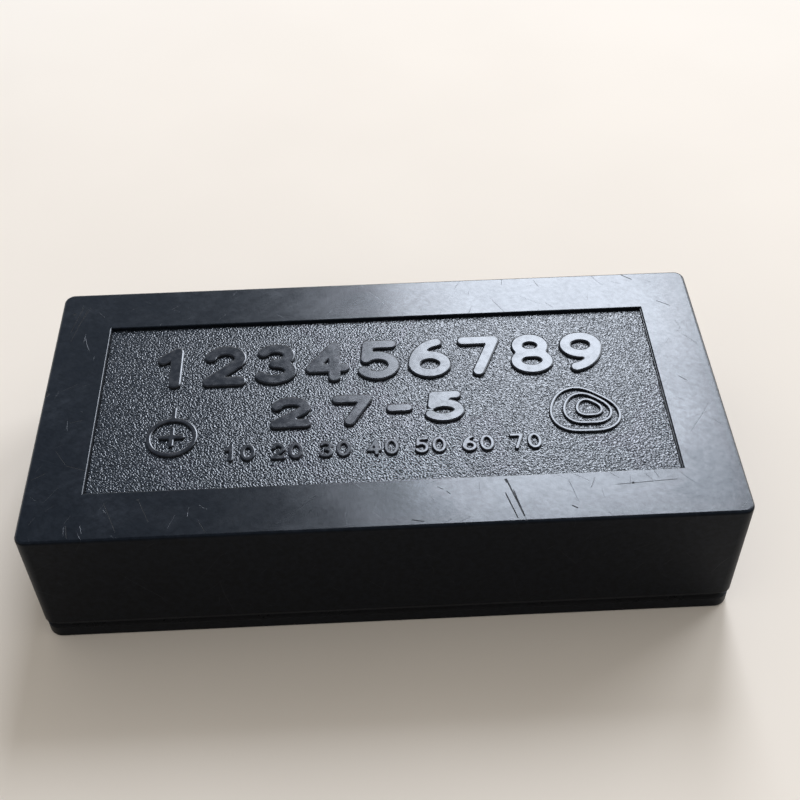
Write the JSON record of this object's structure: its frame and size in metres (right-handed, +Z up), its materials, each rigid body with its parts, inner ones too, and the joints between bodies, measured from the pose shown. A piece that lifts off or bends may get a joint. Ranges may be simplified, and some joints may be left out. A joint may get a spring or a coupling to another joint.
{
  "type": "map measuring wheel in a storage case",
  "caption": "Black moulded storage case with a sunk lid panel, holding a dial map-measuring wheel with a geared tracing wheel and a turned handle.",
  "frame": {"origin": "middle of the closed case's underside", "axes": "+X along the case toward the instrument's handle, +Y toward the back, +Z up out of the lid"},
  "size_m": [0.11, 0.055, 0.0246],
  "materials": {
    "case_plastic": "semi-gloss black moulding with a fine-grained sunk panel",
    "ring_metal": "fine turned aluminium",
    "plated_metal": "bright nickel plating",
    "crystal": "clear domed crystal",
    "dial_paint": "matt off-white paint",
    "movement_brass": "fine brushed brass",
    "screw_steel": "turned steel",
    "wheel_steel": "hardened steel with fine teeth",
    "arbor_steel": "polished steel",
    "pointer_paint": "blued steel",
    "grip_plastic": "turned black plastic"
  },
  "bodies": {
    "case_base": {"case_base": "case_plastic"},
    "case_lid": {"case_lid": "case_plastic"},
    "instrument": {"case_ring": "ring_metal", "front_bezel": "plated_metal", "rear_bezel": "plated_metal", "front_crystal": "crystal", "rear_crystal": "crystal", "front_dial": "dial_paint", "rear_dial": "dial_paint", "front_plate": "movement_brass", "rear_plate": "movement_brass", "plate_screws": "screw_steel", "dial_screws": "screw_steel", "nose_shroud": "plated_metal", "shroud_screws": "screw_steel", "neck_stud": "screw_steel", "ferrule": "plated_metal", "handle_grip": "grip_plastic", "handle_cap": "plated_metal"},
    "pointer_shaft": {"centre_arbor": "arbor_steel", "centre_wheel": "movement_brass", "front_pointer": "pointer_paint", "rear_pointer": "pointer_paint"},
    "intermediate_shaft": {"intermediate_arbor": "arbor_steel", "intermediate_wheel": "movement_brass", "intermediate_pinion": "arbor_steel"},
    "wheel_shaft": {"roller_arbor": "arbor_steel", "roller_pinion": "arbor_steel", "tracing_wheel": "wheel_steel"}
  },
  "joints": [
    {"name": "lid_lift", "type": "slide", "parent": "case_base", "child": "case_lid", "axis": [0, 0, 1], "range_m": [0, 0.09]},
    {"name": "instrument_lift", "type": "slide", "parent": "case_base", "child": "instrument", "axis": [0, 0, 1], "range_m": [0, 0.045]},
    {"name": "pointer_spin", "type": "hinge", "parent": "instrument", "child": "pointer_shaft", "pos_m": [-0.01982, 0, 0.0119], "axis": [0, 0, 1], "continuous": true},
    {"name": "intermediate_spin", "type": "hinge", "parent": "instrument", "child": "intermediate_shaft", "pos_m": [-0.03712, 0, 0.0119], "axis": [0, 0, 1], "continuous": true},
    {"name": "wheel_spin", "type": "hinge", "parent": "instrument", "child": "wheel_shaft", "pos_m": [-0.04432, 0, 0.0119], "axis": [0, 0, 1], "continuous": true}
  ],
  "couplings": [
    {"joint": "instrument_lift", "follows": "lid_lift", "ratio": 0.5},
    {"joint": "intermediate_spin", "follows": "pointer_spin", "ratio": -8},
    {"joint": "wheel_spin", "follows": "pointer_spin", "ratio": 40}
  ]
}
